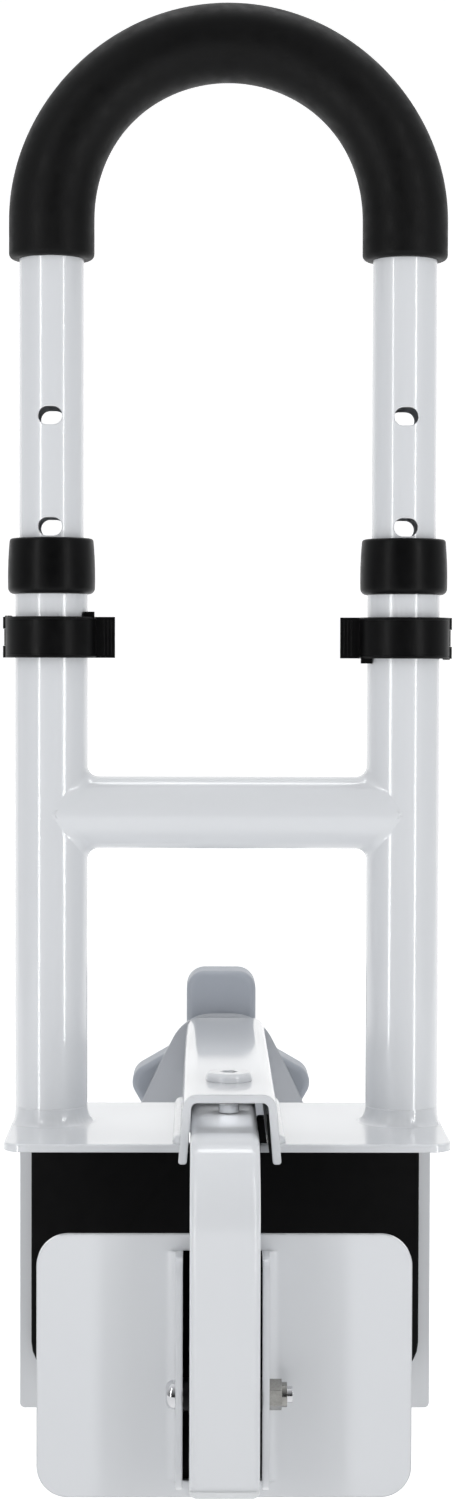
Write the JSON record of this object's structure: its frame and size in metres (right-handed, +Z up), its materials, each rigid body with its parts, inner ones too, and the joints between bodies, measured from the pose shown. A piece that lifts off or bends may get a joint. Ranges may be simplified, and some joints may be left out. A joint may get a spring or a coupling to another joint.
{
  "type": "bed assist rail",
  "caption": "Clamp-on assist rail: padded hoop on telescoping posts with snap height locks, on a screw clamp with hook arm, tilting jaw and lobed hand knob.",
  "frame": {"origin": "on the fixed jaw's rubber face, midway across it and midway down below its notch", "axes": "+Z up along the posts, +X to the right seen from the arm side, +Y from the arm side to the knob side; the fixed jaw's face looks along -Y"},
  "size_m": [0.1774, 0.294, 0.569],
  "materials": {
    "white_coat": "gloss",
    "grey_coat": "satin",
    "black_foam": "matte",
    "black_rubber": "matte",
    "black_plastic": "satin",
    "white_plastic": "satin",
    "grey_plastic": "satin",
    "bright_zinc": "satin",
    "chrome_steel": "polished"
  },
  "bodies": {
    "base": {"left_post": "white_coat", "right_post": "white_coat", "left_post_bead": "white_coat", "right_post_bead": "white_coat", "left_bar_beads": "white_coat", "right_bar_beads": "white_coat", "left_collar": "black_plastic", "right_collar": "black_plastic", "left_lock_saddle": "black_plastic", "right_lock_saddle": "black_plastic", "left_hinge_pin": "bright_zinc", "right_hinge_pin": "bright_zinc", "left_bridge_bead": "white_coat", "right_bridge_bead": "white_coat", "crossbar": "white_coat", "base_plate": "white_coat", "fixed_jaw_rubber": "black_rubber", "bridge_channel": "white_coat", "bridge_liner": "black_plastic", "bridge_end_plate": "grey_coat", "guide_bolt": "white_coat", "guide_nut": "bright_zinc"},
    "hoop": {"hoop_tube": "white_coat", "foam_grip": "black_foam", "left_leg_glide": "black_plastic", "right_leg_glide": "black_plastic"},
    "screw": {"clamp_screw": "bright_zinc", "screw_stop_collar": "bright_zinc", "thrust_washer": "bright_zinc", "knob": "grey_plastic", "knob_nut": "bright_zinc"},
    "arm": {"arm_tube": "white_coat", "arm_cap": "white_plastic", "arm_thread_block": "bright_zinc", "pivot_bolt": "chrome_steel", "pivot_nut": "bright_zinc", "left_pivot_spacer": "black_plastic", "right_pivot_spacer": "black_plastic"},
    "jaw": {"jaw_plate": "white_coat", "moving_jaw_rubber": "black_rubber"},
    "left_door": {"left_lock_door": "black_plastic"},
    "right_door": {"right_lock_door": "black_plastic"}
  },
  "joints": [
    {"name": "hoop_height", "type": "slide", "parent": "base", "child": "hoop", "axis": [0, 0, 1], "range_m": [-0.0864, 0.0432]},
    {"name": "left_lock", "type": "hinge", "parent": "base", "child": "left_door", "pos_m": [-0.0865, -0.041, 0.2575], "axis": [0, 0, -1], "range_deg": [0, 100]},
    {"name": "right_lock", "type": "hinge", "parent": "base", "child": "right_door", "pos_m": [0.0865, -0.041, 0.2575], "axis": [0, 0, 1], "range_deg": [0, 100]},
    {"name": "knob_turn", "type": "hinge", "parent": "base", "child": "screw", "pos_m": [-0.0011, 0.123, 0.0668], "axis": [0, -1, 0], "range_deg": [-5400, 14400]},
    {"name": "arm_slide", "type": "slide", "parent": "base", "child": "arm", "axis": [0, 1, 0], "range_m": [-0.0301, 0.0801]},
    {"name": "jaw_tilt", "type": "hinge", "parent": "arm", "child": "jaw", "pos_m": [-0.002, -0.1366, -0.0183], "axis": [1, 0, 0], "range_deg": [-3, 3]}
  ],
  "couplings": [
    {"joint": "arm_slide", "follows": "knob_turn", "m_per_rad": 0.00031831}
  ]
}
